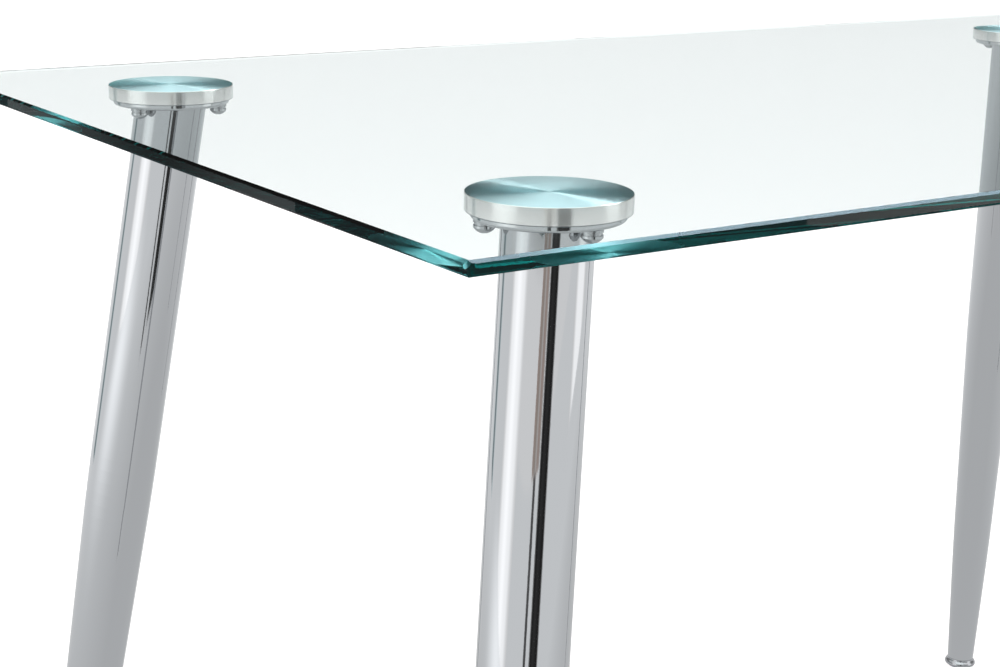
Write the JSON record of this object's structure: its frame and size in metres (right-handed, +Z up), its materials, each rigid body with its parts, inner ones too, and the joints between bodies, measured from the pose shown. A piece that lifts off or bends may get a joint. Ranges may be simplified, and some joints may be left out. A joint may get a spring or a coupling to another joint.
{
  "type": "glass dining table",
  "caption": "Rectangular clear glass dining table on splayed tapered chrome legs, bonded aluminium discs and screw-in levelling feet.",
  "frame": {"origin": "on the floor, under the middle of the glass top", "axes": "+X along the top's long side, +Y along its short side towards the back, +Z up"},
  "size_m": [1.18, 0.725, 0.75],
  "materials": {
    "clear_glass": "polished",
    "aluminium_disc": "turned",
    "chrome_plate": "polished",
    "screw_steel": "polished",
    "chrome_tube": "polished",
    "plug_steel": "machined",
    "stud_steel": "zinc plated",
    "chrome_foot": "polished",
    "glide_plastic": "matte"
  },
  "bodies": {
    "table": {"glass_top": "clear_glass", "mounting_disc_front_left": "aluminium_disc", "mounting_disc_front_right": "aluminium_disc", "mounting_disc_back_left": "aluminium_disc", "mounting_disc_back_right": "aluminium_disc", "leg_plate_front_left": "chrome_plate", "leg_plate_front_right": "chrome_plate", "leg_plate_back_left": "chrome_plate", "leg_plate_back_right": "chrome_plate", "plate_washers_front_left": "screw_steel", "plate_washers_front_right": "screw_steel", "plate_washers_back_left": "screw_steel", "plate_washers_back_right": "screw_steel", "plate_screws_front_left": "screw_steel", "plate_screws_front_right": "screw_steel", "plate_screws_back_left": "screw_steel", "plate_screws_back_right": "screw_steel", "leg_tube_front_left": "chrome_tube", "leg_tube_front_right": "chrome_tube", "leg_tube_back_left": "chrome_tube", "leg_tube_back_right": "chrome_tube", "leg_end_plug_front_left": "plug_steel", "leg_end_plug_front_right": "plug_steel", "leg_end_plug_back_left": "plug_steel", "leg_end_plug_back_right": "plug_steel"},
    "foot_front_left": {"foot_stud_front_left": "stud_steel", "foot_base_front_left": "chrome_foot", "foot_glide_front_left": "glide_plastic"},
    "foot_front_right": {"foot_stud_front_right": "stud_steel", "foot_base_front_right": "chrome_foot", "foot_glide_front_right": "glide_plastic"},
    "foot_back_left": {"foot_stud_back_left": "stud_steel", "foot_base_back_left": "chrome_foot", "foot_glide_back_left": "glide_plastic"},
    "foot_back_right": {"foot_stud_back_right": "stud_steel", "foot_base_back_right": "chrome_foot", "foot_glide_back_right": "glide_plastic"}
  },
  "joints": [
    {"name": "foot_front_left_level", "type": "slide", "parent": "table", "child": "foot_front_left", "axis": [0, 0, -1], "range_m": [0, 0.008]},
    {"name": "foot_front_right_level", "type": "slide", "parent": "table", "child": "foot_front_right", "axis": [0, 0, -1], "range_m": [0, 0.008]},
    {"name": "foot_back_left_level", "type": "slide", "parent": "table", "child": "foot_back_left", "axis": [0, 0, -1], "range_m": [0, 0.008]},
    {"name": "foot_back_right_level", "type": "slide", "parent": "table", "child": "foot_back_right", "axis": [0, 0, -1], "range_m": [0, 0.008]}
  ]
}
